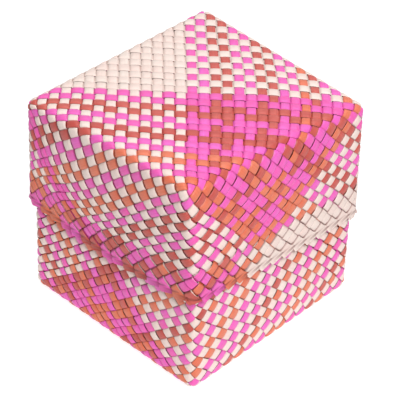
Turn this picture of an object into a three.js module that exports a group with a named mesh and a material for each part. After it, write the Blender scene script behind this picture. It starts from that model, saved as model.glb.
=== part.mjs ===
// A plaited trinket box: a deep base and a lid that slides down over it, both plaited on the bias from flat
// strips. Millimetres, +Z up, the longer walls along Y. The origin is the point of the base's underside that
// lies below the middle of the lid's top.
// The strips' interlacing is finer than these solids: each plaited wall is one skin of the plait's thickness.

import * as THREE from 'three';
import { mergeVertices } from 'three/addons/utils/BufferGeometryUtils.js';

// Sizes of the whole box
const lidLength = 115;
const lidWidth = 107;
const overallHeight = 110;
const edgeRadius = 3.5;
const topCrown = 1;

// How far down the lid comes at its four corners, counterclockwise from the one at +X -Y, and how much
// further midway along its -Y wall
const frontDepth = 57.5;
const rightDepth = 65.5;
const backDepth = 62;
const leftDepth = 59;
const rimSag = 3.5;

// How far the soft walls stand out of true: how much further out than at the top the +X wall stands at the
// floor, at its -Y and its +Y end, and how much the top rises at its +X -Y and -X +Y corners and sinks at the
// other two
const frontSpread = 7.5;
const backSpread = 1;
const topTwist = 2.8;

// Sizes of the plait and of the strips' turned ends
const plaitThickness = 0.8;
const hemThickness = 0.4;
const stripPitch = 5.2;
const lidHemHeight = 17;
const lidInnerHemHeight = 14;
const baseHemHeight = 15;
const baseInnerHemHeight = 11;
const rimHeight = 2.2;
const foldRelief = 0.5;
const foldPoint = 0.6;

// Clearances
const layGap = 0.2;
const rimGap = 0.3;
const seatGap = 0.3;
const runningClearance = 0.4;

// How finely the round edges, the walls and the crown are divided
const arcSteps = 4;
const wallSteps = 6;
const crownSteps = 2;

// Worked out from the sizes above
const halfPlait = plaitThickness / 2;
const layer = layGap + hemThickness;
const nesting = plaitThickness + layer + runningClearance;
const lidHalf = new THREE.Vector2(lidWidth / 2 - halfPlait, lidLength / 2 - halfPlait);
const baseHalf = lidHalf.clone().subScalar(nesting);
const seatReach = edgeRadius - halfPlait - seatGap;
const seatInset = edgeRadius + halfPlait - nesting;
const seatRise = Math.sqrt(seatReach ** 2 - seatInset ** 2);
const lidTop = overallHeight - topCrown - halfPlait;
const baseHeight = lidTop - edgeRadius + seatRise;

const lidForm = { half: lidHalf, up: 1 };
const baseForm = { half: baseHalf, up: -1 };

// Level of a rim at a point of the plan. The base's is level. The lid's rises and falls evenly from corner to
// corner, and sags along one wall.
function rimAt(form, point) {
  if (form === baseForm) {
    return baseHeight;
  }
  const across = (1 + point.x / lidHalf.x) / 2;
  const along = (1 + point.y / lidHalf.y) / 2;
  const near = THREE.MathUtils.lerp(leftDepth, frontDepth, across);
  const far = THREE.MathUtils.lerp(backDepth, rightDepth, across);
  const sag = rimSag * 4 * across * (1 - across) * (1 - along);
  return overallHeight - THREE.MathUtils.lerp(near, far, along) - sag;
}

// Where the soft walls let a point of the true box stand. The spread dies out as the cube of the height, and
// the twist grows as its fourth power.
function settle(point) {
  const across = point.x / lidHalf.x;
  const along = point.y / lidHalf.y;
  const height = point.z / lidTop;
  const spread = THREE.MathUtils.lerp(frontSpread, backSpread, (1 + along) / 2);
  point.x += spread * (1 - height ** 3) * (1 + across) / 2;
  point.z -= topTwist * across * along * height ** 4;
  return point;
}

// The four sides of the plan in turn, counterclockwise from the corner at +X -Y, and where each one starts
function sidesOf(half) {
  const lengths = [2 * half.y, 2 * half.x, 2 * half.y, 2 * half.x];
  const starts = [0, lengths[0], lengths[0] + lengths[1], 2 * lengths[0] + lengths[1]];
  return { lengths, starts, round: 2 * (lengths[0] + lengths[1]) };
}

// The plan is a rectangle with round corners. A place on it is given by how far round the sharp rectangle it
// lies, and is pushed in along the radius where the corner is round.
function planPoint(half, along, offset) {
  const { lengths, starts } = sidesOf(half);
  const side = starts.findLastIndex((start) => along >= start);
  const step = along - starts[side] - lengths[side] / 2;
  const reach = lengths[(side + 1) % 4] / 2;
  const sharp = new THREE.Vector2(reach, step).rotateAround(new THREE.Vector2(), side * Math.PI / 2);
  const core = half.clone().subScalar(edgeRadius);
  const centre = sharp.clone().clamp(core.clone().negate(), core);
  const normal = sharp.clone().sub(centre).normalize();
  return { centre, normal, point: centre.clone().addScaledVector(normal, edgeRadius + offset) };
}

// Places where a round corner is divided, measured from the sharp corner
function cornerStops() {
  const stops = [];
  for (let i = -arcSteps; i <= arcSteps; i += 1) {
    const turn = (1 - Math.abs(i) / arcSteps) * Math.PI / 4;
    stops.push(Math.sign(i) * edgeRadius * (1 - Math.tan(turn)));
  }
  return stops;
}

// All the places round the plan where a loop has a point: the corners' divisions, the quarters of each side
// and whatever a pattern adds
function stations(half, pattern = []) {
  const { lengths, starts, round } = sidesOf(half);
  const places = [...pattern];
  for (let corner = 0; corner < 4; corner += 1) {
    cornerStops().forEach((stop) => places.push((starts[corner] + stop + round) % round));
    [0.25, 0.5, 0.75].forEach((share) => places.push(starts[corner] + share * lengths[corner]));
  }
  places.sort((a, b) => a - b);
  const closest = 0.05;
  return places.filter((place, i) => i === 0 || place - places[i - 1] > closest);
}

// Skins a list of loops of equally many points. Loops that shrink to a point close the skin; a ring's last
// loop joins its first. Loops run counterclockwise, and the first of them lies on top of the outer face.
function skin(loops, isRing = false) {
  const around = loops[0].length;
  const rows = isRing ? loops.length : loops.length - 1;
  const raw = new THREE.BufferGeometry();
  const numbers = loops.flat().flatMap((p) => settle(p).toArray());
  raw.setAttribute('position', new THREE.Float32BufferAttribute(numbers, 3));
  const faces = [];
  for (let row = 0; row < rows; row += 1) {
    const next = (row + 1) % loops.length;
    for (let i = 0; i < around; i += 1) {
      const j = (i + 1) % around;
      const [a, b] = [row * around + i, row * around + j];
      const [d, c] = [next * around + i, next * around + j];
      faces.push(a, d, c, a, c, b);
    }
  }
  raw.setIndex(faces);
  return withoutSlivers(mergeVertices(raw, 1e-4));
}

// Drops the triangles of which two corners have merged
function withoutSlivers(geometry) {
  const index = geometry.getIndex().array;
  const kept = [];
  for (let i = 0; i < index.length; i += 3) {
    const [a, b, c] = [index[i], index[i + 1], index[i + 2]];
    if (a !== b && b !== c && c !== a) {
      kept.push(a, b, c);
    }
  }
  geometry.setIndex(kept);
  return geometry;
}

// A loop on the wall: share 0 is where the round edge ends, and share 1 is the rim.
function wallLoop(form, places, offset, share, edgeLevel, rimOffset) {
  return places.map((along) => {
    const { point } = planPoint(form.half, along, offset);
    const level = THREE.MathUtils.lerp(edgeLevel, rimAt(form, point) + rimOffset, share);
    return new THREE.Vector3(point.x, point.y, level);
  });
}

// The loops of one face of a box's skin, from the middle of its closed end, round the edge, to its rim
function faceLoops(form, closedLevel, offset, crown, rimOffset) {
  const places = stations(form.half);
  const edgeLevel = closedLevel - form.up * edgeRadius;
  const loops = [];
  for (let i = 0; i < crownSteps; i += 1) {
    const share = i / crownSteps;
    loops.push(places.map((along) => {
      const { centre } = planPoint(form.half, along, 0);
      const level = closedLevel + form.up * offset + crown * (1 - share ** 2);
      return new THREE.Vector3(centre.x * share, centre.y * share, level);
    }));
  }
  for (let i = arcSteps; i > 0; i -= 1) {
    const turn = i / arcSteps * Math.PI / 2;
    loops.push(places.map((along) => {
      const { centre, normal } = planPoint(form.half, along, 0);
      const out = normal.multiplyScalar((edgeRadius + offset) * Math.cos(turn));
      const level = edgeLevel + form.up * (edgeRadius + offset) * Math.sin(turn);
      return new THREE.Vector3(centre.x + out.x, centre.y + out.y, level);
    }));
  }
  for (let i = 0; i <= wallSteps; i += 1) {
    loops.push(wallLoop(form, places, offset, i / wallSteps, edgeLevel, rimOffset));
  }
  return loops;
}

function lidShell() {
  const stop = rimHeight + rimGap;
  const outside = faceLoops(lidForm, lidTop, halfPlait, topCrown, stop);
  const inside = faceLoops(lidForm, lidTop, -halfPlait, topCrown, stop);
  return skin([...outside, ...inside.reverse()]);
}

function baseShell() {
  const stop = -rimHeight - rimGap;
  const outside = faceLoops(baseForm, halfPlait, halfPlait, 0, stop);
  const inside = faceLoops(baseForm, halfPlait, -halfPlait, 0, stop);
  return skin([...inside, ...outside.reverse()]);
}

// The strips that turn over along each side of a rim: how many, and how far apart. The base has as many as
// the lid.
function foldsOf(form) {
  const { lengths, starts } = sidesOf(form.half);
  return sidesOf(lidHalf).lengths.map((lidSide, side) => {
    const count = Math.max(1, Math.round(lidSide / (stripPitch * Math.SQRT2)));
    return { count, start: starts[side], pitch: lengths[side] / count };
  });
}

function rimPattern(form, shares) {
  const places = [];
  foldsOf(form).forEach(({ count, start, pitch }) => {
    for (let fold = 0; fold < count; fold += 1) {
      shares.forEach((share) => places.push(start + (fold + share) * pitch));
    }
  });
  return places;
}

// How far through its fold a place on the rim lies, from 0 to 1
function shareOfFold(form, along) {
  const { start, pitch } = foldsOf(form).findLast((side) => along >= side.start);
  const folds = (along - start) / pitch;
  return folds - Math.floor(folds + 1e-6);
}

// A hem: the strips' turned ends lying side by side on the plait. Each end is cut square to its own
// direction, which runs at 45 degrees, so the hem's free edge is a row of right-angled teeth.
function hem(form, inner, outer, height, isShifted) {
  const places = stations(form.half, rimPattern(form, [0, 0.5]));
  const tooth = stripPitch / Math.SQRT2;
  const loop = (offset, levelAt) => places.map((along) => {
    const { point } = planPoint(form.half, along, offset);
    return new THREE.Vector3(point.x, point.y, rimAt(form, point) + form.up * levelAt(along));
  });
  const fixedEdge = () => rimHeight + rimGap;
  const freeEdge = (along) => {
    const peak = Math.abs(2 * shareOfFold(form, along) - 1);
    return height - tooth * (isShifted ? peak : 1 - peak);
  };
  const above = form.up > 0 ? freeEdge : fixedEdge;
  const below = form.up > 0 ? fixedEdge : freeEdge;
  return skin([loop(outer, above), loop(outer, below), loop(inner, below), loop(inner, above)], true);
}

// The rim: every strip turns over the edge in one slanting fold, which stands out at the end where it lies
// over its neighbour and comes to a point there.
function rimFolds(form, inner, outer, reliefOut, reliefIn) {
  const places = stations(form.half, rimPattern(form, [0, 0.12, 0.6]));
  const swellAt = (along) => {
    const share = shareOfFold(form, along);
    return share < 0.12 ? share / 0.12 : (1 - share) / 0.88;
  };
  const loop = (offset, relief, level, point) => places.map((along) => {
    const swell = swellAt(along);
    const place = planPoint(form.half, along, offset + relief * swell).point;
    const tip = point * foldPoint * (1 - swell);
    return new THREE.Vector3(place.x, place.y, rimAt(form, place) + form.up * (level + tip));
  });
  const quarter = (outer - inner) / 4;
  const section = [
    loop(outer, reliefOut, rimHeight, 0),
    loop(outer, reliefOut, quarter, 0),
    loop(outer - quarter, reliefOut, 0, 1),
    loop(inner + quarter, -reliefIn, 0, 1),
    loop(inner, -reliefIn, quarter, 0),
    loop(inner, -reliefIn, rimHeight, 0),
  ];
  return skin(form.up > 0 ? section : section.reverse(), true);
}

const palette = {
  pink: { color: 0xf06ac4, roughness: 0.45 },
  rust: { color: 0xc8605a, roughness: 0.5 },
  orange: { color: 0xea7a50, roughness: 0.5 },
  cream: { color: 0xf8e4d4, roughness: 0.55 },
};

function piece(name, geometry, look) {
  const material = new THREE.MeshStandardMaterial({ ...palette[look], metalness: 0 });
  material.name = look;
  const mesh = new THREE.Mesh(geometry, material);
  mesh.name = name;
  geometry.computeVertexNormals();
  return mesh;
}

function lid() {
  const face = halfPlait + layGap;
  const reach = face + hemThickness;
  const group = new THREE.Group();
  group.add(piece('lid_plait', lidShell(), 'pink'));
  group.add(piece('lid_outer_hem', hem(lidForm, face, reach, lidHemHeight, false), 'rust'));
  group.add(piece('lid_inner_hem', hem(lidForm, -reach, -face, lidInnerHemHeight, true), 'cream'));
  group.add(piece('lid_rim_folds', rimFolds(lidForm, -reach, reach, foldRelief, 0), 'pink'));
  return group;
}

function base() {
  const first = -halfPlait - layGap;
  const second = first - layer;
  const group = new THREE.Group();
  group.add(piece('base_plait', baseShell(), 'cream'));
  group.add(piece('base_hem', hem(baseForm, first - hemThickness, first, baseHemHeight, false), 'orange'));
  group.add(piece('base_inner_hem',
    hem(baseForm, second - hemThickness, second, baseInnerHemHeight, true), 'cream'));
  const inside = second - hemThickness;
  group.add(piece('base_rim_folds', rimFolds(baseForm, inside, halfPlait, 0, foldRelief), 'orange'));
  return group;
}

const box = new THREE.Group();
box.add(base());
box.add(lid());

export default box;
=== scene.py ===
"""A trinket box plaited on the bias from flat dyed leaf strips: a deep base, and a lid that slides
down over it."""

import math

import bpy
import numpy as np
from mathutils import Matrix, Vector


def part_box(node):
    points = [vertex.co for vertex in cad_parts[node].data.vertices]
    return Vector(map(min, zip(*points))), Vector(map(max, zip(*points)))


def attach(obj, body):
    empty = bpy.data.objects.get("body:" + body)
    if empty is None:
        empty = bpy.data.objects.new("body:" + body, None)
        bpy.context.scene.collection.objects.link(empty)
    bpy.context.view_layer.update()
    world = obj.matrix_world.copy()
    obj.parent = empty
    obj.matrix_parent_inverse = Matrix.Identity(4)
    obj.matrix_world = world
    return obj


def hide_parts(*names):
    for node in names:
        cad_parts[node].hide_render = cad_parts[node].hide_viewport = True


bl_info = {
    "name": "Plaited Trinket Box",
    "version": (1, 0, 0),
    "blender": (4, 5, 0),
    "location": "View3D > Sidebar > Trinket Box",
    "description": "Plaits the lid and the base of a trinket box over its packed frame",
    "category": "Add Mesh",
}

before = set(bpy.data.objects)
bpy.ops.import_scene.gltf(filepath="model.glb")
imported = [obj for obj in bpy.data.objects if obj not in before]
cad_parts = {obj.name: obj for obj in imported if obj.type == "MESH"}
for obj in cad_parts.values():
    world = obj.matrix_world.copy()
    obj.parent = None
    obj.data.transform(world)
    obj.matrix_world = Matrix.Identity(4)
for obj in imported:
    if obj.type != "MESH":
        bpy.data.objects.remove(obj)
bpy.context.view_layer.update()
MM = 0.001

DYES = {"p": "pink", "r": "rust", "o": "orange", "c": "cream"}

# Colours of the strips in the order in which they lie side by side. "h" is a strip pieced below
# the front corner, pink up the right wall and cream up the left one.
LID_FORE = "c" * 14 + "pprrpprrpporppoo"
LID_CROSS = "c" * 14 + "pprrpprrppooppoo"
BASE_FORE = "rrppooppropp" + "oop" + "c" * 15
BASE_CROSS = "c" * 15 + "opporppooppor" + "ph"

# Crossings along the longer and the shorter edge, and rows of crossings down to the rim
LID_CROSSINGS, LID_ROWS = (16, 14), 9
BASE_CROSSINGS, BASE_ROWS = (15, 15), 16

# How far the plait has been pulled out of line on the two front walls, in crossings. The ways are
# counted round the box from the front corner, and run from the left corner past the front one to
# the right one. At each depth below the closed end stand the pulls round the box at these ways,
# and then the pulls down the wall.
LID_WAYS = (46, 49.5, 53, 56.5, 60, 64, 68, 72, 76)
LID_PULL = {
    0: ((0.00, -0.63, -0.17, -0.11, 0.00, -0.36, -0.38, -0.25, 0.00),
        (0.00, -0.26, -0.06, 0.00, 0.00, 0.05, 0.18, 0.09, 0.00)),
    1.5: ((-0.49, -1.37, -1.17, -1.05, -0.94, -0.28, -0.19, -0.28, -0.38),
          (-0.96, 0.05, 0.58, 0.10, 0.22, 0.28, 0.59, 0.51, 0.00)),
    3: ((-0.22, -1.75, -2.07, -1.74, -1.39, -0.62, -0.50, -0.45, -0.34),
        (-0.72, 0.62, 1.16, 0.49, 0.04, 0.04, 0.36, 0.14, 0.10)),
    5: ((-0.19, -1.96, -2.30, -2.25, -2.01, -1.22, -1.02, -0.69, -0.49),
        (-0.71, 0.37, 0.94, 0.45, -0.21, -0.27, 0.00, 0.00, -0.32)),
    7: ((-0.65, -1.92, -2.40, -2.76, -2.42, -1.80, -1.59, -0.91, -0.57),
        (-0.53, -0.26, 0.24, 0.03, -0.39, -0.30, -0.16, -0.18, -0.30)),
    9: ((-1.08, -1.47, -1.86, -2.26, -2.36, -2.14, -1.83, -1.24, -0.70), (0,) * 9),
}
BASE_WAYS = (45, 49, 53, 57, 60, 64, 68, 72, 75)
BASE_PULL = {
    0: ((0,) * 9, (0,) * 9),
    1.5: ((0.35, 0.03, -0.22, -0.10, 0.39, 0.94, 1.10, 0.66, 0.18),
          (0.00, -0.10, -0.24, -0.31, -0.11, 0.02, -0.10, -0.03, 0.10)),
    3: ((0.62, 0.00, -0.10, 0.02, 0.34, 0.78, 0.96, 0.69, 0.48),
        (-0.15, -0.48, -0.61, -0.46, -0.16, -0.04, -0.03, 0.00, -0.13)),
    5: ((1.05, 0.37, 0.39, 0.37, 0.48, 0.58, 0.63, 0.80, 0.86),
        (-0.24, -0.50, -0.34, -0.40, -0.14, 0.16, 0.30, 0.10, -0.03)),
    7: ((1.20, 0.98, 0.97, 0.77, 0.78, 0.63, 0.54, 0.64, 0.85),
        (-0.33, -0.37, -0.21, -0.44, -0.20, 0.23, 0.39, 0.28, 0.32)),
    16: ((0.60,) * 9, (0,) * 9),
}

# The same across the lid's top. The places are counted along the right wall's edge from the front
# corner. At each distance from that edge stand the pulls toward the back, and then the pulls away
# from the edge.
TOP_PLACES = (0, 4, 8, 12, 16)
TOP_PULL = {
    0: ((0.00, -0.36, -0.38, -0.25, 0.00), (0.00, -0.05, -0.18, -0.09, 0.00)),
    3.5: ((0.00, -0.25, -0.31, 0.23, 0.00), (0.11, -0.32, -0.59, -0.28, 0.00)),
    7: ((0.06, -0.32, -0.37, 0.26, 0.00), (0.17, -0.42, -0.48, -0.25, 0.00)),
    10.5: ((0.26, -0.17, -0.22, -0.22, 0.00), (0.63, -0.22, -0.29, -0.37, 0.00)),
    14: ((0,) * 5, (0,) * 5),
}

# The pull at a point is the mean of the table's at places up to this many crossings away
SOFT_REACH = 1.6
SOFT_STEPS = (-1.0, -0.5, 0.0, 0.5, 1.0)

# Half the thickness of the frame's plait
HALF_PLAIT = 0.4 * MM

# Section of a strip: shares of its half width and of its thickness, counterclockwise
SECTION = np.array([
    (-0.9, -0.5), (0.9, -0.5), (1.0, -0.1), (0.9, 0.4),
    (0.45, 0.5), (-0.45, 0.5), (-0.9, 0.4), (-1.0, -0.1),
])
# Places of the rings in each crossing, and in the half turn at a fold, where they are shares of it
CROSSING_STOPS = np.array([0.0, 0.05, 0.14, 0.3, 0.5, 0.7, 0.86, 0.95])
TURN_STOPS = np.array([-1.0, -0.5, 0.0, 0.5, 1.0])
FOLD_RADIUS = 0.35 * MM

# Lengths along a strip, in crossings: the least from its end to the next ring, the stretch on
# either side of a fold that only the half turn's rings share, and the gap on either side of the
# middle of a pieced strip
END_ROOM = 0.02
FOLD_ROOM = 0.3
PIECED_GAP = 0.1

# Irregularities: a strip's width against the usual one, the pace of its wandering to the side, and
# how much faster the second of the two waves that make it goes
WIDTH_SPREAD = (0.97, 1.02)
WOBBLE_PACE = (0.25, 0.5)
WOBBLE_RATIO = 2.7

# The wave of a strip: how abruptly it changes sides, and the heights of its arch and its bulge at
# the strip's edges, to which 1 and the rest of 1 are added in its middle
ABRUPTNESS = 5.0
ARCH_AT_EDGE = 0.6
BULGE_AT_EDGE = 0.25

# Stretches in which something fades, as distances from the fold in crossings: the bend of a strip
# towards it, the slant of the rim, the puff of the fold and the painted shade on the fold's flat
# leaf
BEND = (0.3, 1.6)
RIM_SLANT = (0.2, 1.2)
PUFF_FADE = (0.1, 1.1)
LEAF_FADE = (0.6, 0.8)
# Heights in rows: how far above the rim the tucked ends begin to lift the lid's own strips, and
# how far past the hem's height they still cover them
TUCK = (0.6, 0.75)
COVER_END = (0.15, 0.3)
# Shares of the base's depth between which the lid begins to cover it
BASE_COVER = (0.42, 0.55)

# A fold turned inward has less of the slant and of the puff
INNER_SLANT = 0.4
INNER_PUFF = 0.3
# A fold turned outward loses some of its puff across these places of its width, bulges as a wave
# of this height does, and is pinched where it is tucked in: how far from the fold, over what
# length, and how deep against the puff. Its leaf gets painted shade across the last places of its
# width.
PUFF_LEAN = (-0.1, 0.45)
PUFF_LOSS = 0.8
FOLD_SWELL = 0.6
PINCH_PLACE, PINCH_LENGTH, PINCH_DEPTH = 0.6, 0.12, 0.4
LEAF_EDGE = (0.15, 0.42)
# How many strips' thicknesses the turned ends lie from the wall's own plait; on the base first
# those of the strips that are underneath at the rim, then those of the strips on top
LID_LAYER = 1.08
BASE_LAYERS = (1.1, 2.2)

# Painted shade where a strip dips under another, by its wave, in the plait and in a turned end. One
# end of each crossing gets this painted shadow in full; the other keeps these shares of it, across
# the closed end and on the walls.
DIP = (-0.5, -0.02)
TAIL_DIP = (-0.45, 0.05)
PAINTED_SHADOW_END = (0.0, 0.5)
TOP_PAINTED_SHADE = 0.1
WALL_PAINTED_SHADE = 0.15

# Steps between neighbouring strips on the UV map, so that no two show the same grain, and the
# number that keeps the seeds of all strips positive
UV_STEP = (61.0, 7.0)
SEED_SHIFT = 50
SHARP_EDGE = math.radians(42.0)

# How each dye varies: what its darkest fibres keep of it, the colour that it goes towards, and its
# least roughness
DYE_LOOKS = {
    "pink": (0.72, (0.87, 0.15, 0.65), 0.34),
    "rust": (0.68, (0.68, 0.14, 0.11), 0.34),
    "orange": (0.70, (0.82, 0.25, 0.14), 0.34),
    "cream": (0.84, (0.89, 0.66, 0.60), 0.38),
}
# The tint's share is so much of the strip's tone and of the clouds, less its start
TONE_SHARE, CLOUD_SHARE, TINT_START = 0.5, 1.3, 0.55
CLOUD_SCALE = (0.9, 1.1, 1.0)
# The fibres darken the colour by this share of what is past their start, and roughen it
FIBRE_SHARE, FIBRE_START, FIBRE_ROUGHNESS = 1.2, 0.42, 0.15
FIBRE_SCALE = (0.35, 9.0, 1.0)
FIBRE_RELIEF, RELIEF_SHARE = 0.1 * MM, 0.18
# What the painted shade in the dips keeps of red, green and blue, and its share where it is darkest
PAINTED_SHADE_KEPT, PAINTED_SHADE_SHARE = (0.36, 0.2, 0.2), 0.9

# Place in metres, width in metres and power in watts of each square lamp, and what they point at
LAMPS = {
    "front lamp": ((0.72, -0.36, 0.92), 0.4, 9.6),
    "top lamp": ((-0.2, 0.3, 1.2), 0.9, 5.5),
}
LAMP_AIM = Vector((0, 0, 0.05))
SKY_LIGHT = 0.25
SENSOR = 36.0
FLOOR_HALF = 6.0
# The floor as the camera sees it, and as it lights the box: its paleness, and its glow, which
# fades between two distances from the middle
FLOOR_SEEN, FLOOR_SHADED = 0.88, 0.3
FLOOR_PALE, FLOOR_GLOW, GLOW_FADE = 0.86, 0.5, (0.07, 0.16)


class BoxSettings(bpy.types.PropertyGroup):
    """Shape of the box, which stands a little out of true"""

    edge_radius: bpy.props.FloatProperty(
        name="Edge radius", description="Rounding of the edges, at the middle of the plait",
        default=3.5 * MM, unit="LENGTH")
    crown: bpy.props.FloatProperty(
        name="Crown", description="How far the middle of the lid's top bulges",
        default=1.0 * MM, unit="LENGTH")
    lid_top: bpy.props.FloatProperty(
        name="Lid top", description="Height of the lid's top at its edges",
        default=108.6 * MM, unit="LENGTH")
    base_lift: bpy.props.FloatProperty(
        name="Base lift",
        description="How far the middle of the base's plait lies above its lowest strips",
        default=1.05 * MM, unit="LENGTH")
    rim_corners: bpy.props.FloatVectorProperty(
        name="Rim at the corners",
        description="Height of the lid's rim at the left, front, right and back corners",
        size=4, default=(51.0 * MM, 52.5 * MM, 44.5 * MM, 48.0 * MM), unit="LENGTH")
    rim_sag: bpy.props.FloatProperty(
        name="Rim sag", description="How far the lid's rim sags midway along the left wall",
        default=3.5 * MM, unit="LENGTH")
    base_rim: bpy.props.FloatProperty(
        name="Base rim", description="Height of the base's rim",
        default=106.15 * MM, unit="LENGTH")
    front_spread: bpy.props.FloatProperty(
        name="Front spread", description="How far the foot of the front corner is drawn out",
        default=7.5 * MM, unit="LENGTH")
    back_spread: bpy.props.FloatProperty(
        name="Back spread", description="How far the foot of the right corner is drawn out",
        default=1.0 * MM, unit="LENGTH")
    top_twist: bpy.props.FloatProperty(
        name="Top twist", description="How far the lid's top rises or dips at its corners",
        default=2.8 * MM, unit="LENGTH")


class PlaitSettings(bpy.types.PropertyGroup):
    """Sizes of the strips and of the plait"""

    wide_fill: bpy.props.FloatProperty(
        name="Wide fill",
        description="Share of the pitch that a strip's width takes up where strips lie close",
        default=0.965, min=0.5, max=1.0, subtype="FACTOR")
    narrow_fill: bpy.props.FloatProperty(
        name="Narrow fill",
        description="The same for the strips that have drawn in and leave gaps",
        default=0.825, min=0.5, max=1.0, subtype="FACTOR")
    strip_thickness: bpy.props.FloatProperty(
        name="Strip thickness", description="Thickness of one strip",
        default=0.4 * MM, unit="LENGTH")
    rise: bpy.props.FloatProperty(
        name="Rise", description="How far a strip rises where it passes over another",
        default=0.26 * MM, unit="LENGTH")
    arch: bpy.props.FloatProperty(
        name="Arch", description="How far a strip arches over the one that it crosses",
        default=0.1 * MM, unit="LENGTH")
    bulge: bpy.props.FloatProperty(
        name="Bulge",
        description="How much further a strip bulges where nothing lies against it",
        default=0.4 * MM, unit="LENGTH")
    puff: bpy.props.FloatProperty(
        name="Fold puff", description="How far a turned strip stands out at the rim",
        default=0.85 * MM, unit="LENGTH")
    slant: bpy.props.FloatProperty(
        name="Fold slant", description="Slope of a fold at the rim, which dips to one end",
        default=0.3, min=0.0, max=0.4)
    hem_tiles: bpy.props.FloatProperty(
        name="Hem", description="Length of a turned strip end, in crossings",
        default=4.1, min=1.0, max=6.0)
    wobble: bpy.props.FloatProperty(
        name="Wobble", description="How far a strip wanders to the side, in strip pitches",
        default=0.015)
    seed: bpy.props.IntProperty(
        name="Seed", description="Changes the small irregularities", default=7)


class DyeSettings(bpy.types.PropertyGroup):
    """Colours of the strips"""

    pink: bpy.props.FloatVectorProperty(
        name="Pink", description="Pink dyed strip", size=3, subtype="COLOR", min=0, max=1,
        default=(0.91, 0.11, 0.44))
    rust: bpy.props.FloatVectorProperty(
        name="Rust", description="Rust dyed strip", size=3, subtype="COLOR", min=0, max=1,
        default=(0.54, 0.070, 0.055))
    orange: bpy.props.FloatVectorProperty(
        name="Orange", description="Orange dyed strip", size=3, subtype="COLOR", min=0, max=1,
        default=(0.78, 0.155, 0.075))
    cream: bpy.props.FloatVectorProperty(
        name="Cream", description="Undyed strip", size=3, subtype="COLOR", min=0, max=1,
        default=(0.89, 0.75, 0.68))


class StudioSettings(bpy.types.PropertyGroup):
    """Camera and its place"""

    azimuth: bpy.props.FloatProperty(
        name="Azimuth", description="Direction of the camera round the box",
        default=math.radians(44.716), subtype="ANGLE")
    elevation: bpy.props.FloatProperty(
        name="Elevation", description="Height of the camera above the level",
        default=math.radians(35.349), subtype="ANGLE")
    roll: bpy.props.FloatProperty(
        name="Roll", description="Turn of the camera about its line of sight",
        default=math.radians(1.991), subtype="ANGLE")
    distance: bpy.props.FloatProperty(
        name="Distance", description="From the camera to the point that it looks at",
        default=0.9, unit="LENGTH")
    lens: bpy.props.FloatProperty(
        name="Lens", description="Focal length on a 36 mm wide sensor, in millimetres",
        default=170.4)
    aim: bpy.props.FloatVectorProperty(
        name="Aim", description="Point that the camera looks at", size=3, subtype="TRANSLATION",
        default=(4.675 * MM, 0.0, 53.229 * MM))


def smooth(value, low, high):
    """0 below low, 1 above high and 3t^2 - 2t^3 between them."""
    t = np.clip((value - low) / (high - low), 0.0, 1.0)
    return t * t * (3.0 - 2.0 * t)


def half_widths(node):
    """From the middle of the box to the middle of a plait's left and back walls."""
    low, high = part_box(node)
    return -low[0] - HALF_PLAIT, high[1] - HALF_PLAIT


def pull_at(table, ways, way, depth, around):
    """The pull read from the table by straight lines round the box and down the wall."""
    depths = np.array(list(table))
    row = np.clip(np.searchsorted(depths, depth) - 1, 0, len(depths) - 2)
    share = np.clip((depth - depths[row]) / (depths[row + 1] - depths[row]), 0.0, 1.0)
    result = []
    for kind in (0, 1):
        by_row = np.stack([np.interp(way, ways, table[d][kind], period=around) for d in table])
        above = np.take_along_axis(by_row, row[None], axis=0)[0]
        below = np.take_along_axis(by_row, row[None] + 1, axis=0)[0]
        result.append(above * (1.0 - share) + below * share)
    return np.stack(result)


def mean_pull(table, ways, way, depth, shares, around):
    """Mean of the pull at twenty-five places round about, at these shares of the usual reach to
    the sides and up and down."""
    total = 0.0
    for aside in SOFT_STEPS:
        for lower in SOFT_STEPS:
            total = total + pull_at(
                table, ways, way + SOFT_REACH * aside * shares[0],
                depth + SOFT_REACH * lower * shares[1], around)
    return total / len(SOFT_STEPS) ** 2


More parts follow.
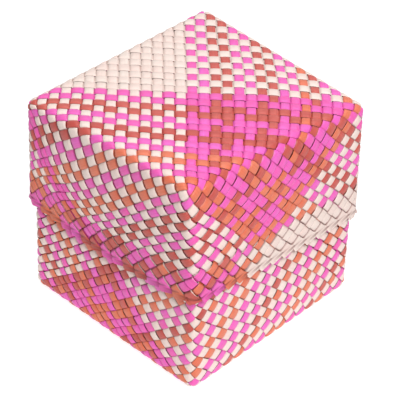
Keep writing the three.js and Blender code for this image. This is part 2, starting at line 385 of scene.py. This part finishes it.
class Form:
    """The rounded box that one plait follows: its half widths, its closed end, its rim, its strips
    and their pull. Across the closed end p counts the strips that run from the front corner to the
    back one, and q those that run from left to right, both from the front corner."""

    def __init__(self, box, node, up, crossings, rows, closed, pull):
        self.box, self.up, self.closed, self.pull = box, up, closed, pull
        self.half = half_widths(node)
        self.long, self.short = crossings
        self.around = 2 * (self.long + self.short)
        self.corners = np.cumsum([0, self.long, self.short, self.long, self.short])
        self.rim_depth = rows
        # One crossing in metres: the base is about as high as its crossings are wide
        self.pitch = abs(box.base_rim - box.base_lift) / BASE_CROSSINGS[0]

    def side(self, name):
        """Where the strips come down a wall: the depth, counted in rows from the closed end, and
        the way round the box, counted counterclockwise from the front corner. Each is given as
        (share of p, share of q, constant)."""
        return {
            "front_right": ((0.5, 0.5, 0.0), (0.5, -0.5, 0.0)),
            "back_right": ((0.5, -0.5, -self.long), (-0.5, -0.5, self.long)),
            "back_left": ((-0.5, -0.5, -self.short), (-0.5, 0.5, 2 * self.long + self.short)),
            "front_left": ((-0.5, 0.5, 0.0), (0.5, 0.5, self.around)),
        }[name]

    def sides_met(self, along_p, number):
        """The two sides on which a strip comes down: the one that it meets going forward or
        right, then the other."""
        middle = number + 0.5
        if along_p:
            return ("front_right" if middle > -self.long else "back_right",
                    "front_left" if middle > -self.short else "back_left")
        return ("front_right" if middle > 0 else "front_left",
                "back_right" if middle > self.long - self.short else "back_left")

    def rim_level(self, x, y):
        """Height of the rim above or below a point of the walls: on the lid, straight lines
        between the corners' heights, less a parabola along the left wall."""
        if self.up > 0:
            return np.full_like(x, self.box.base_rim)
        left, front, right, back = self.box.rim_corners
        across = (1.0 + x / self.half[0]) / 2.0
        along = (1.0 + y / self.half[1]) / 2.0
        near = left + (front - left) * across
        far = back + (right - back) * across
        sag = self.box.rim_sag * 4.0 * across * (1.0 - across) * (1.0 - along)
        return near + (far - near) * along - sag

    def pulled(self, way, depth):
        """Way and depth on the walls after the pull, whose places draw together in depth towards
        the edge of the closed end."""
        table, ways = self.pull
        reach = np.minimum(1.0, depth / (SOFT_REACH / 2.0)) / 2.0
        pull = mean_pull(table, ways, way, depth, (1.0, reach), self.around)
        return way + pull[0], depth + pull[1]

    def pulled_top(self, s, t):
        """The same across the lid's top, where the places draw together towards all edges."""
        if self.up > 0:
            return s, t
        shares = [np.clip(np.minimum(place, span - place) / SOFT_REACH, 0.0, 1.0)
                  for place, span in ((s, self.long), (t, self.short))]
        pull = mean_pull(TOP_PULL, TOP_PLACES, s, t, shares, None)
        return s + pull[0], t + pull[1]

    def place(self, p, q, depth, way, on_wall, offset):
        """Point of the box: the sharp box's point P is pulled to the nearest point C of the box
        shrunk by the edge radius, and pushed from there along P - C to the radius plus the
        offset. The lid's top then rises by its crown times the parabolas along both its sides."""
        hx, hy = self.half
        s, t = self.pulled_top((p - q) / 2.0, -(p + q) / 2.0)
        way, depth = self.pulled(way, np.where(on_wall, depth, 0.0))
        way = way % self.around
        x = np.where(on_wall, np.interp(way, self.corners, [hx, hx, -hx, -hx, hx]),
                     hx - t * 2.0 * hx / self.short)
        y = np.where(on_wall, np.interp(way, self.corners, [-hy, hy, hy, -hy, -hy]),
                     s * 2.0 * hy / self.long - hy)
        share = np.where(on_wall, depth / self.rim_depth, 0.0)
        z = self.closed + (self.rim_level(x, y) - self.closed) * share
        r = self.box.edge_radius
        level = self.closed + self.up * r
        core = np.stack([
            np.clip(x, r - hx, hx - r),
            np.clip(y, r - hy, hy - r),
            np.maximum(z, level) if self.up > 0 else np.minimum(z, level),
        ], axis=-1)
        normal = np.stack([x, y, z], axis=-1) - core
        normal /= np.linalg.norm(normal, axis=-1, keepdims=True)
        point = core + normal * (r + offset)[..., None]
        if self.up < 0:
            swell = (np.clip(1.0 - (x / hx) ** 2, 0.0, 1.0)
                     * np.clip(1.0 - (y / hy) ** 2, 0.0, 1.0))
            point[..., 2] += self.box.crown * swell * (~on_wall)
        return self.settle(point)

    def settle(self, point):
        """The box out of true: the right side is drawn out by a spread that fades with the height
        cubed, and opposite corners rise and dip by a twist that grows with its fourth power."""
        half = half_widths("lid_plait")
        across, along = point[..., 0] / half[0], point[..., 1] / half[1]
        height = point[..., 2] / self.box.lid_top
        spread = (self.box.front_spread
                  + (self.box.back_spread - self.box.front_spread) * (1.0 + along) / 2.0)
        settled = point.copy()
        settled[..., 0] += spread * (1.0 - height ** 3) * (1.0 + across) / 2.0
        settled[..., 2] -= self.box.top_twist * across * along * height ** 4
        return settled


class End:
    """How one end of a strip comes down a wall. Heading tells whether going along the strip leads
    down, tilt whether going across it does, clockwise which way round the box it runs and round
    which of its edges lies further round. Fold is the place along the strip where the rim is."""

    def __init__(self, form, side, along_p, number):
        self.depth_row, self.way_row = (dp, dq, d0), (wp, wq, _) = form.side(side)
        down_along, down_across = (dp, dq) if along_p else (dq, dp)
        way_along, way_across = (wp, wq) if along_p else (wq, wp)
        self.heading = math.copysign(1.0, down_along)
        self.tilt = math.copysign(1.0, down_across)
        self.clockwise = down_along + way_along == 0
        self.round = math.copysign(
            1.0, way_across + (1 if self.clockwise else -1) * down_across)
        start = down_across * (number + 0.5) + d0
        self.fold = (form.rim_depth - start) / down_along


class Strip:
    """One strip of the plait, as rings of points. It runs along p at one q, or along q at one p,
    across the closed end and down two walls. It waves through the crossings as
    rise * tanh(5 sin(pi c)), with c counted in crossings, and arches and bulges a little where it
    is on top. At each rim a half turn carries it into a layer outside or inside its own wall,
    where it runs back and is tucked under every second crossing."""

    def __init__(self, form, settings, along_p, number, half, rng):
        self.form, self.settings, self.along_p = form, settings, along_p
        self.ends = [End(form, side, along_p, number) for side in form.sides_met(along_p, number)]
        self.centre = centre = self.stops(half)
        self.wide = along_p == (form.up < 0)
        fill = settings.wide_fill if self.wide else settings.narrow_fill
        fill = fill * rng.uniform(*WIDTH_SPREAD)
        phase, pace = rng.uniform(0.0, 2.0 * math.pi, 2), rng.uniform(*WOBBLE_PACE)
        drift = settings.wobble * (
            np.sin(centre * pace + phase[0])
            + np.sin(centre * pace * WOBBLE_RATIO + phase[1]))
        self.across = np.repeat(0.5 * fill * SECTION[None, :, 0], len(centre), axis=0)
        self.through = settings.strip_thickness * SECTION[None, :, 1]
        along = centre
        # Towards a fold the rings lean over until they lie along the rim
        for end in self.ends:
            bend = 1.0 - smooth(np.abs(centre - end.fold), *BEND)
            slant = settings.slant if end.clockwise else INNER_SLANT * settings.slant
            lean = -end.tilt - 2.0 * slant * end.round
            along = along + end.heading * bend * lean * self.across
        side = number + 0.5 + self.across + drift
        self.along, (self.p, self.q) = along, (along, side) if along_p else (side, along)

        # The wave is above 0 where the strip is on top and below 0 where it is underneath
        hand = 1.0 if along_p else -1.0
        self.sign = hand * (-1.0) ** number
        self.wave = self.sign * np.sin(math.pi * along)
        self.bite = np.tanh(ABRUPTNESS * self.wave)
        rounding = 1.0 - 4.0 * self.across ** 2
        self.crest = ARCH_AT_EDGE + rounding
        self.swell = BULGE_AT_EDGE + (1.0 - BULGE_AT_EDGE) * rounding
        self.own = settings.rise * self.bite + settings.arch * self.wave * self.crest
        self.bulge = settings.bulge * np.sqrt(np.maximum(self.wave, 0.0)) * self.swell
        # Painted shade in the dips under crossing strips, and a painted shadow at one end of each
        # crossing
        self.dip = smooth(-self.wave, *DIP)
        self.painted_shadow_end = smooth(-self.sign * np.cos(math.pi * along) * hand, *PAINTED_SHADOW_END)

    def stops(self, half):
        """Places of the rings along the strip: eight in each crossing, and five in the half turn
        at each fold with one more on either side. A pieced strip has its second or its first
        half only."""
        turn = TURN_STOPS * math.pi * FOLD_RADIUS / self.form.pitch
        room = FOLD_ROOM * np.array([-1.0, 1.0])
        stop, start = (e.fold + e.heading * self.settings.hem_tiles for e in self.ends)
        middle = 0.5 * (self.ends[0].fold + self.ends[1].fold)
        if half == 0:
            start = middle + PIECED_GAP
        if half == 1:
            stop = middle - PIECED_GAP
        whole = np.arange(math.floor(start), math.ceil(stop))
        regular = (whole[:, None] + CROSSING_STOPS[None, :]).ravel()
        regular = regular[(regular > start + END_ROOM) & (regular < stop - END_ROOM)]
        at_folds = []
        for end in self.ends:
            regular = regular[np.abs(regular - end.fold) > FOLD_ROOM]
            at_folds += [end.fold + turn, end.fold + room]
        stops = np.unique(np.concatenate([[start, stop], regular, *at_folds]))
        return stops[(stops >= start) & (stops <= stop)][:, None]

    def lid_layers(self, down, near, out, outward, lean, pinch):
        """Heights of the strip in the lid's wall and of its turned end over or under that wall.
        The wall's skin lifts where ends are tucked through it; the end stands off by a strip's
        thickness and waves against the wall, and puffs where it leaves the fold."""
        settings = self.settings
        thickness = settings.strip_thickness
        height = self.form.rim_depth - down
        hem = 0.5 * settings.hem_tiles
        covered = 1.0 - smooth(height, hem + COVER_END[0], hem + COVER_END[1])
        tucked = smooth(height, *TUCK) * covered
        skin = (self.own + self.bulge * (1.0 - covered)
                + out * thickness * tucked * np.maximum(0.0, out * self.bite))
        lie = np.where(near < 1.0, 1.0, -out * self.bite)
        layer = out * (LID_LAYER * thickness + settings.rise * lie
                       + settings.arch * np.maximum(lie, 0.0) * self.crest)
        puff = settings.puff * INNER_PUFF
        if outward:
            free = np.where(near < 1.0, FOLD_SWELL, -self.wave)
            layer = layer + settings.bulge * np.sqrt(np.maximum(free, 0.0)) * self.swell
            puff = settings.puff * (1.0 - PUFF_LOSS * smooth(lean, *PUFF_LEAN))
        layer = layer + out * puff * (1.0 - smooth(near, *PUFF_FADE))
        return skin, layer - PINCH_DEPTH * settings.puff * pinch

    def base_layers(self, down, outer):
        """The same on the base, where the ends of the outer strips lie inside those of the inner
        ones, and the skin keeps its bulge only where the lid leaves it free."""
        settings, rim_depth = self.settings, self.form.rim_depth
        covered = smooth(down, BASE_COVER[0] * rim_depth, BASE_COVER[1] * rim_depth)
        depth = BASE_LAYERS[outer] * settings.strip_thickness
        return self.own + self.bulge * (1.0 - covered), -(settings.rise + depth + settings.arch)

    def down_wall(self, end, down):
        """Offset, depth and painted shade on one wall. Short of the rim the strip lies in the
        wall's skin, past it in the turned end's layer, and between them it follows a half circle
        whose radius is half their distance. Outward folds get painted shade along their closed edge
        and where they are pinched, turned ends where they dip under the wall's strips."""
        form, settings = self.form, self.settings
        outer = bool(np.sin(math.pi * end.fold) * self.sign > 0.0)
        outward = outer and form.up < 0
        out = 1.0 if outward else -1.0
        near = np.abs(self.centre - end.fold)
        lean = end.round * self.across
        pinch = (near - PINCH_PLACE + PINCH_PLACE * lean) / PINCH_LENGTH
        pinch = np.exp(-pinch ** 2) * outward
        slant = settings.slant if outward else INNER_SLANT * settings.slant
        rim = form.rim_depth - slant * lean * (1.0 - smooth(near, *RIM_SLANT))
        if form.up < 0:
            skin, layer = self.lid_layers(down, near, out, outward, lean, pinch)
        else:
            skin, layer = self.base_layers(down, outer)

        past = (down - rim) * form.pitch
        angle = np.clip(past / FOLD_RADIUS, -math.pi / 2.0, math.pi / 2.0)
        radius = (layer - skin) * out / 2.0
        offset = (skin + layer) / 2.0 + out * (radius - out * self.through) * np.sin(angle)
        quarter = math.pi * FOLD_RADIUS / 2.0
        level = (rim * form.pitch - quarter - np.maximum(np.abs(past) - quarter, 0.0)
                 + (FOLD_RADIUS - out * self.through) * np.cos(angle))

        # Painted shade in the dips, with a painted shadow in full at one end of each crossing of
        # the wide strips
        painted_shade = self.dip * (WALL_PAINTED_SHADE + (1.0 - WALL_PAINTED_SHADE) * self.painted_shadow_end * self.wide)
        # Painted shade on the fold's leaf and pinch, and on turned ends where they dip under the
        # wall's strips
        if outward:
            leaf = smooth(lean, *LEAF_EDGE) * (1.0 - smooth(near, *LEAF_FADE))
            under = smooth(self.wave, *TAIL_DIP) * (near > 1.0)
            tail = np.maximum(under, np.maximum(leaf, pinch))
            painted_shade = np.where(down > rim, tail, np.maximum(painted_shade, leaf))
        return offset, level / form.pitch, painted_shade

    def points(self):
        """Places and painted shade of all points: as they lie across the closed end, and over that
        as they lie on each wall that the strip comes down."""
        offset = self.own + self.bulge + self.through
        # Painted shade in the dips, with a painted shadow in full at one end of each crossing of
        # the strips across
        painted_shade = self.dip * (TOP_PAINTED_SHADE + (1.0 - TOP_PAINTED_SHADE) * self.painted_shadow_end * (not self.along_p))
        depth, way = np.zeros_like(offset), np.zeros_like(offset)
        on_wall = np.zeros(offset.shape, dtype=bool)
        for end in self.ends:
            down, round_it = (row[0] * self.p + row[1] * self.q + row[2]
                              for row in (end.depth_row, end.way_row))
            here = down > 0.0
            values = self.down_wall(end, down)
            offset, depth, painted_shade = (
                np.where(here, new, old) for new, old in zip(values, (offset, depth, painted_shade)))
            way = np.where(here, round_it, way)
            on_wall |= here
        return self.form.place(self.p, self.q, depth, way, on_wall, offset), painted_shade


def ribbon_faces(rings, ring_size, first):
    """Quads between neighbouring rings, and one cap at each end, numbered from the first
    vertex."""
    ring = np.arange(rings - 1)[:, None] * ring_size
    step = np.arange(ring_size)[None, :]
    after = (step + 1) % ring_size
    quads = np.stack([
        ring + step, ring + after, ring + ring_size + after, ring + ring_size + step], axis=-1)
    caps = np.stack([np.arange(ring_size)[::-1], (rings - 1) * ring_size + np.arange(ring_size)])
    return quads.reshape(-1, 4) + first, caps + first


def strips_mesh(name, form, settings, along_p, numbers):
    """One mesh of all the strips of one colour and direction. A strip whose volume comes out
    negative has its faces turned round, so that all point outward."""
    points, quads, caps, uvs, tones, dips = [], [], [], [], [], []
    first = 0
    for number, half in numbers:
        rng = np.random.default_rng(
            [settings.seed, number + SEED_SHIFT, int(along_p), int(form.up > 0)])
        strip = Strip(form, settings, along_p, number, half, rng)
        rings, dip = strip.points()
        flat = rings.reshape(-1, 3)
        four, end = ribbon_faces(*rings.shape[:2], first)
        a, b, c, d = (flat[four[:, i] - first] for i in range(4))
        if np.sum(a * (np.cross(b, c) + np.cross(c, d))) < 0.0:
            four, end = four[:, ::-1], end[:, ::-1]
        points.append(flat)
        quads.append(four)
        caps.append(end)
        uvs.append(np.stack([strip.along + UV_STEP[0] * number,
                             strip.across + UV_STEP[1] * number], axis=-1).reshape(-1, 2))
        tones.append(np.full(len(flat), rng.uniform(0.0, 1.0)))
        dips.append(dip.ravel())
        first += len(flat)
    points, quads, caps = np.concatenate(points), np.concatenate(quads), np.concatenate(caps)
    loops = np.concatenate([quads.ravel(), caps.ravel()])
    totals = np.concatenate([np.full(len(quads), 4), np.full(len(caps), caps.shape[1])])
    mesh = bpy.data.meshes.new(name)
    mesh.vertices.add(len(points))
    mesh.vertices.foreach_set("co", points.ravel())
    mesh.loops.add(len(loops))
    mesh.loops.foreach_set("vertex_index", loops.astype(np.int32))
    mesh.polygons.add(len(totals))
    mesh.polygons.foreach_set("loop_start", (np.cumsum(totals) - totals).astype(np.int32))
    mesh.polygons.foreach_set("loop_total", totals.astype(np.int32))
    mesh.update(calc_edges=True)
    mesh.shade_smooth()
    mesh.set_sharp_from_angle(angle=SHARP_EDGE)
    layer = mesh.uv_layers.new(name="strip")
    layer.data.foreach_set("uv", np.concatenate(uvs)[loops].ravel())
    # The dip attribute carries each point's painted shade
    for key, values in (("tone", tones), ("dip", dips)):
        attribute = mesh.attributes.new(key, "FLOAT", "POINT")
        attribute.data.foreach_set("value", np.concatenate(values).astype(np.float32))
    if mesh.validate():
        raise RuntimeError(f"{name} had broken faces")
    return mesh


class Value:
    """A socket in a sum: operators add the Math nodes that work it out."""

    def __init__(self, tree, socket):
        self.tree, self.socket = tree, socket

    def _math(self, operation, *terms):
        return self.tree.add("ShaderNodeMath", {"operation": operation}, dict(enumerate(terms)))

    def __add__(self, other):
        return self._math("ADD", self, other)

    def __sub__(self, other):
        return self._math("SUBTRACT", self, other)

    def __rsub__(self, other):
        return self._math("SUBTRACT", other, self)

    def __mul__(self, other):
        return self._math("MULTIPLY", self, other)

    __radd__ = __add__
    __rmul__ = __mul__


class Tree:
    """The nodes of a material or a world, added one by one with their settings and with their
    sockets' values or links."""

    def __init__(self, owner):
        owner.use_nodes = True
        self.nodes, self.links = owner.node_tree.nodes, owner.node_tree.links
        self.nodes.clear()

    def add(self, kind, settings=None, sockets=None, output=0):
        node = self.nodes.new(kind)
        for name, value in (settings or {}).items():
            setattr(node, name, value)
        for name, value in (sockets or {}).items():
            if isinstance(value, Value):
                self.links.new(value.socket, node.inputs[name])
            else:
                node.inputs[name].default_value = value
        return Value(self, node.outputs[output]) if len(node.outputs) else node

    def mix(self, share, first, second):
        """Mix of two colours. The node's colour sockets are numbers 6 and 7, its colour result
        is number 2."""
        return self.add(
            "ShaderNodeMix", {"data_type": "RGBA"}, {0: share, 6: first, 7: second}, 2)

    def seen(self):
        """1 for what the camera sees, straight, in a reflection or through glass, else 0."""
        straight, mirrored, through = (
            self.add("ShaderNodeLightPath", output=f"Is {ray} Ray")
            for ray in ("Camera", "Glossy", "Transmission"))
        return straight + mirrored + through


def dyed_strip(name, colour, depth, tint, gloss):
    """Leaf strip. The colour goes from the dye to its tint by the strip's own tone and a cloudy
    noise. Lengthwise fibres darken it, the dips get a painted reddish-brown shade, and both the
    roughness and the relief follow the fibres."""
    shade = tuple(depth * channel for channel in colour)
    # Colour of the painted shade in the dips: the dye's darker tone, reddened
    painted_shade = tuple(kept * channel for kept, channel in zip(PAINTED_SHADE_KEPT, shade))
    material = bpy.data.materials.new(name)
    tree = Tree(material)
    uv = tree.add("ShaderNodeUVMap", {"uv_map": "strip"})
    tone = tree.add("ShaderNodeAttribute", {"attribute_name": "tone"}, output="Fac")
    dip = tree.add("ShaderNodeAttribute", {"attribute_name": "dip"}, output="Fac")
    streaks = tree.add("ShaderNodeMapping", {}, {"Vector": uv, "Scale": FIBRE_SCALE})
    fibre = tree.add(
        "ShaderNodeTexNoise", {}, {"Vector": streaks, "Scale": 1.0, "Detail": 3.0})
    clouds = tree.add("ShaderNodeMapping", {}, {"Vector": uv, "Scale": CLOUD_SCALE})
    patch = tree.add(
        "ShaderNodeTexNoise", {}, {"Vector": clouds, "Scale": 1.0, "Detail": 2.0})
    fading = tone * TONE_SHARE + patch * CLOUD_SHARE - TINT_START
    base = tree.mix(fading, (*colour, 1.0), (*tint, 1.0))
    base = tree.mix((fibre - FIBRE_START) * FIBRE_SHARE, base, (*shade, 1.0))
    # Painted shade in the dips and at one end of each crossing
    base = tree.mix(dip * PAINTED_SHADE_SHARE, base, (*painted_shade, 1.0))
    relief = tree.add("ShaderNodeBump", {}, {
        "Height": fibre, "Strength": RELIEF_SHARE, "Distance": FIBRE_RELIEF})
    shader = tree.add("ShaderNodeBsdfPrincipled", {}, {
        "Base Color": base,
        "Roughness": gloss + fibre * FIBRE_ROUGHNESS,
        "Specular IOR Level": 0.5,
        "Normal": relief,
    })
    tree.add("ShaderNodeOutputMaterial", {}, {"Surface": shader})


def strip_materials(dyes):
    """One material for each dye, made once and shared by the lid and the base."""
    for dye, look in DYE_LOOKS.items():
        if f"{dye} strip" not in bpy.data.materials:
            dyed_strip(f"{dye} strip", tuple(getattr(dyes, dye)), *look)
    return {code: bpy.data.materials[f"{dye} strip"] for code, dye in DYES.items()}


def numbers_of(order, code, first):
    """Numbers of the strips of one colour, each with None or with the half that it covers. A
    pieced strip counts as pink in one half and as cream in the other."""
    halves = {"p": 0, "c": 1}
    numbers = [(first + i, None) for i, letter in enumerate(order) if letter == code]
    if code in halves:
        numbers += [(first + i, halves[code]) for i, letter in enumerate(order) if letter == "h"]
    return numbers


def plait(context, body, form, orders):
    """Makes a piece of all the strips of each colour and direction, in place of the body's
    solids."""
    settings = context.scene.trinket_plait
    materials = strip_materials(context.scene.trinket_dyes)
    nodes = [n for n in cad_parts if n.startswith(f"{body}_")]
    for direction, along_p, order, first in (
        ("fore", False, orders[0], -form.short),
        ("cross", True, orders[1], -form.long - form.short),
    ):
        for code, dye in DYES.items():
            numbers = numbers_of(order, code, first)
            if not numbers:
                continue
            name = f"{body}_{dye}_{direction}_strips"
            mesh = strips_mesh(name, form, settings, along_p, numbers)
            piece = bpy.data.objects.new(name, mesh)
            context.collection.objects.link(piece)
            mesh.materials.append(materials[code])
            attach(piece, body)
            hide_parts(*nodes)


class TRINKETBOX_OT_lid(bpy.types.Operator):
    """Plaits the lid, with its strip ends turned outward and inward at the rim"""

    bl_idname = "trinketbox.lid"
    bl_label = "Plait Lid"

    def execute(self, context):
        box = context.scene.trinket_box
        pull = LID_PULL, LID_WAYS
        form = Form(box, "lid_plait", -1, LID_CROSSINGS, LID_ROWS, box.lid_top, pull)
        plait(context, "lid", form, (LID_FORE, LID_CROSS))
        return {"FINISHED"}


class TRINKETBOX_OT_base(bpy.types.Operator):
    """Plaits the base, with its strip ends turned inward at the rim"""

    bl_idname = "trinketbox.base"
    bl_label = "Plait Base"

    def execute(self, context):
        box = context.scene.trinket_box
        pull = BASE_PULL, BASE_WAYS
        form = Form(box, "base_plait", 1, BASE_CROSSINGS, BASE_ROWS, box.base_lift, pull)
        plait(context, "base", form, (BASE_FORE, BASE_CROSS))
        return {"FINISHED"}


class TRINKETBOX_OT_studio(bpy.types.Operator):
    """Sets the white floor, the soft lamps and the camera"""

    bl_idname = "trinketbox.studio"
    bl_label = "Set Studio"

    def execute(self, context):
        context.scene.view_settings.view_transform = "Standard"
        self.floor(context)
        self.world(context)
        for name, (place, size, power) in LAMPS.items():
            self.lamp(context, name, place, size, power)
        self.camera(context)
        return {"FINISHED"}

    def floor(self, context):
        """A white floor. The camera sees it lit from within, so that only the box's shadow greys
        it. To all else it is pale and matt, with a glow about the box that fades outward."""
        half = FLOOR_HALF
        mesh = bpy.data.meshes.new("floor")
        corners = [(-half, -half, 0), (half, -half, 0), (half, half, 0), (-half, half, 0)]
        mesh.from_pydata(corners, [], [(0, 1, 2, 3)])
        material = bpy.data.materials.new("white floor")
        tree = Tree(material)
        place = tree.add("ShaderNodeTexCoord", output="Object")
        reach = tree.add(
            "ShaderNodeVectorMath", {"operation": "LENGTH"}, {0: place}, output="Value")
        glow = tree.add("ShaderNodeMapRange", {}, {
            "Value": reach, "From Min": GLOW_FADE[0], "From Max": GLOW_FADE[1],
            "To Min": FLOOR_GLOW, "To Max": 0.0})
        white, plain = (
            tree.add("ShaderNodeAddShader", {}, {
                0: tree.add("ShaderNodeEmission", {}, {
                    "Color": (1, 1, 1, 1), "Strength": strength}),
                1: tree.add("ShaderNodeBsdfDiffuse", {}, {"Color": (pale, pale, pale, 1)}),
            })
            for strength, pale in ((FLOOR_SEEN, FLOOR_SHADED), (glow, FLOOR_PALE)))
        both = tree.add("ShaderNodeMixShader", {}, {0: tree.seen(), 1: plain, 2: white})
        tree.add("ShaderNodeOutputMaterial", {}, {"Surface": both})
        mesh.materials.append(material)
        floor = bpy.data.objects.new("floor", mesh)
        context.collection.objects.link(floor)

    def world(self, context):
        """White where the camera sees it, and a soft grey light elsewhere."""
        world = bpy.data.worlds.new("studio")
        context.scene.world = world
        tree = Tree(world)
        light, white = (
            tree.add("ShaderNodeBackground", {}, {"Color": (1, 1, 1, 1), "Strength": strength})
            for strength in (SKY_LIGHT, 1.0))
        both = tree.add("ShaderNodeMixShader", {}, {0: tree.seen(), 1: light, 2: white})
        tree.add("ShaderNodeOutputWorld", {}, {"Surface": both})

    def lamp(self, context, name, place, size, power):
        """A square soft lamp that points at the middle of the box."""
        data = bpy.data.lights.new(name, "AREA")
        data.shape, data.size, data.energy = "SQUARE", size, power
        lamp = bpy.data.objects.new(name, data)
        lamp.location = place
        lamp.rotation_euler = (Vector(place) - LAMP_AIM).to_track_quat("Z", "Y").to_euler()
        context.collection.objects.link(lamp)

    def camera(self, context):
        """The camera stands off from its aim by azimuth, elevation and distance, and is rolled
        about its line of sight."""
        studio = context.scene.trinket_studio
        back = Vector((
            math.sin(studio.azimuth) * math.cos(studio.elevation),
            -math.cos(studio.azimuth) * math.cos(studio.elevation),
            math.sin(studio.elevation),
        ))
        level = Vector((0, 0, 1)).cross(back).normalized()
        right = level * math.cos(studio.roll) + back.cross(level) * math.sin(studio.roll)
        turn = Matrix((right, back.cross(right), back)).transposed().to_4x4()
        data = bpy.data.cameras.new("camera")
        data.lens, data.sensor_width, data.clip_start = studio.lens, SENSOR, 0.01
        camera = bpy.data.objects.new("camera", data)
        camera.matrix_world = (
            Matrix.Translation(Vector(studio.aim) + back * studio.distance) @ turn)
        context.collection.objects.link(camera)
        context.scene.camera = camera


class TRINKETBOX_PT_panel(bpy.types.Panel):
    """Lists the steps that make the box"""

    bl_idname = "TRINKETBOX_PT_panel"
    bl_label = "Trinket Box"
    bl_space_type = "VIEW_3D"
    bl_region_type = "UI"
    bl_category = "Trinket Box"

    def draw(self, context):
        for step in STEPS:
            self.layout.operator(step.bl_idname)


STEPS = (TRINKETBOX_OT_base, TRINKETBOX_OT_lid, TRINKETBOX_OT_studio)
GROUPS = {
    "trinket_box": BoxSettings,
    "trinket_plait": PlaitSettings,
    "trinket_dyes": DyeSettings,
    "trinket_studio": StudioSettings,
}
CLASSES = (*GROUPS.values(), *STEPS, TRINKETBOX_PT_panel)


def register():
    for cls in CLASSES:
        bpy.utils.register_class(cls)
    for name, group in GROUPS.items():
        setattr(bpy.types.Scene, name, bpy.props.PointerProperty(type=group))


def unregister():
    for name in GROUPS:
        delattr(bpy.types.Scene, name)
    for cls in reversed(CLASSES):
        bpy.utils.unregister_class(cls)


def main():
    """Makes the base, the lid and the studio."""
    register()
    for step in STEPS:
        group, name = step.bl_idname.split(".")
        getattr(getattr(bpy.ops, group), name)()


if __name__ == "__main__":
    main()
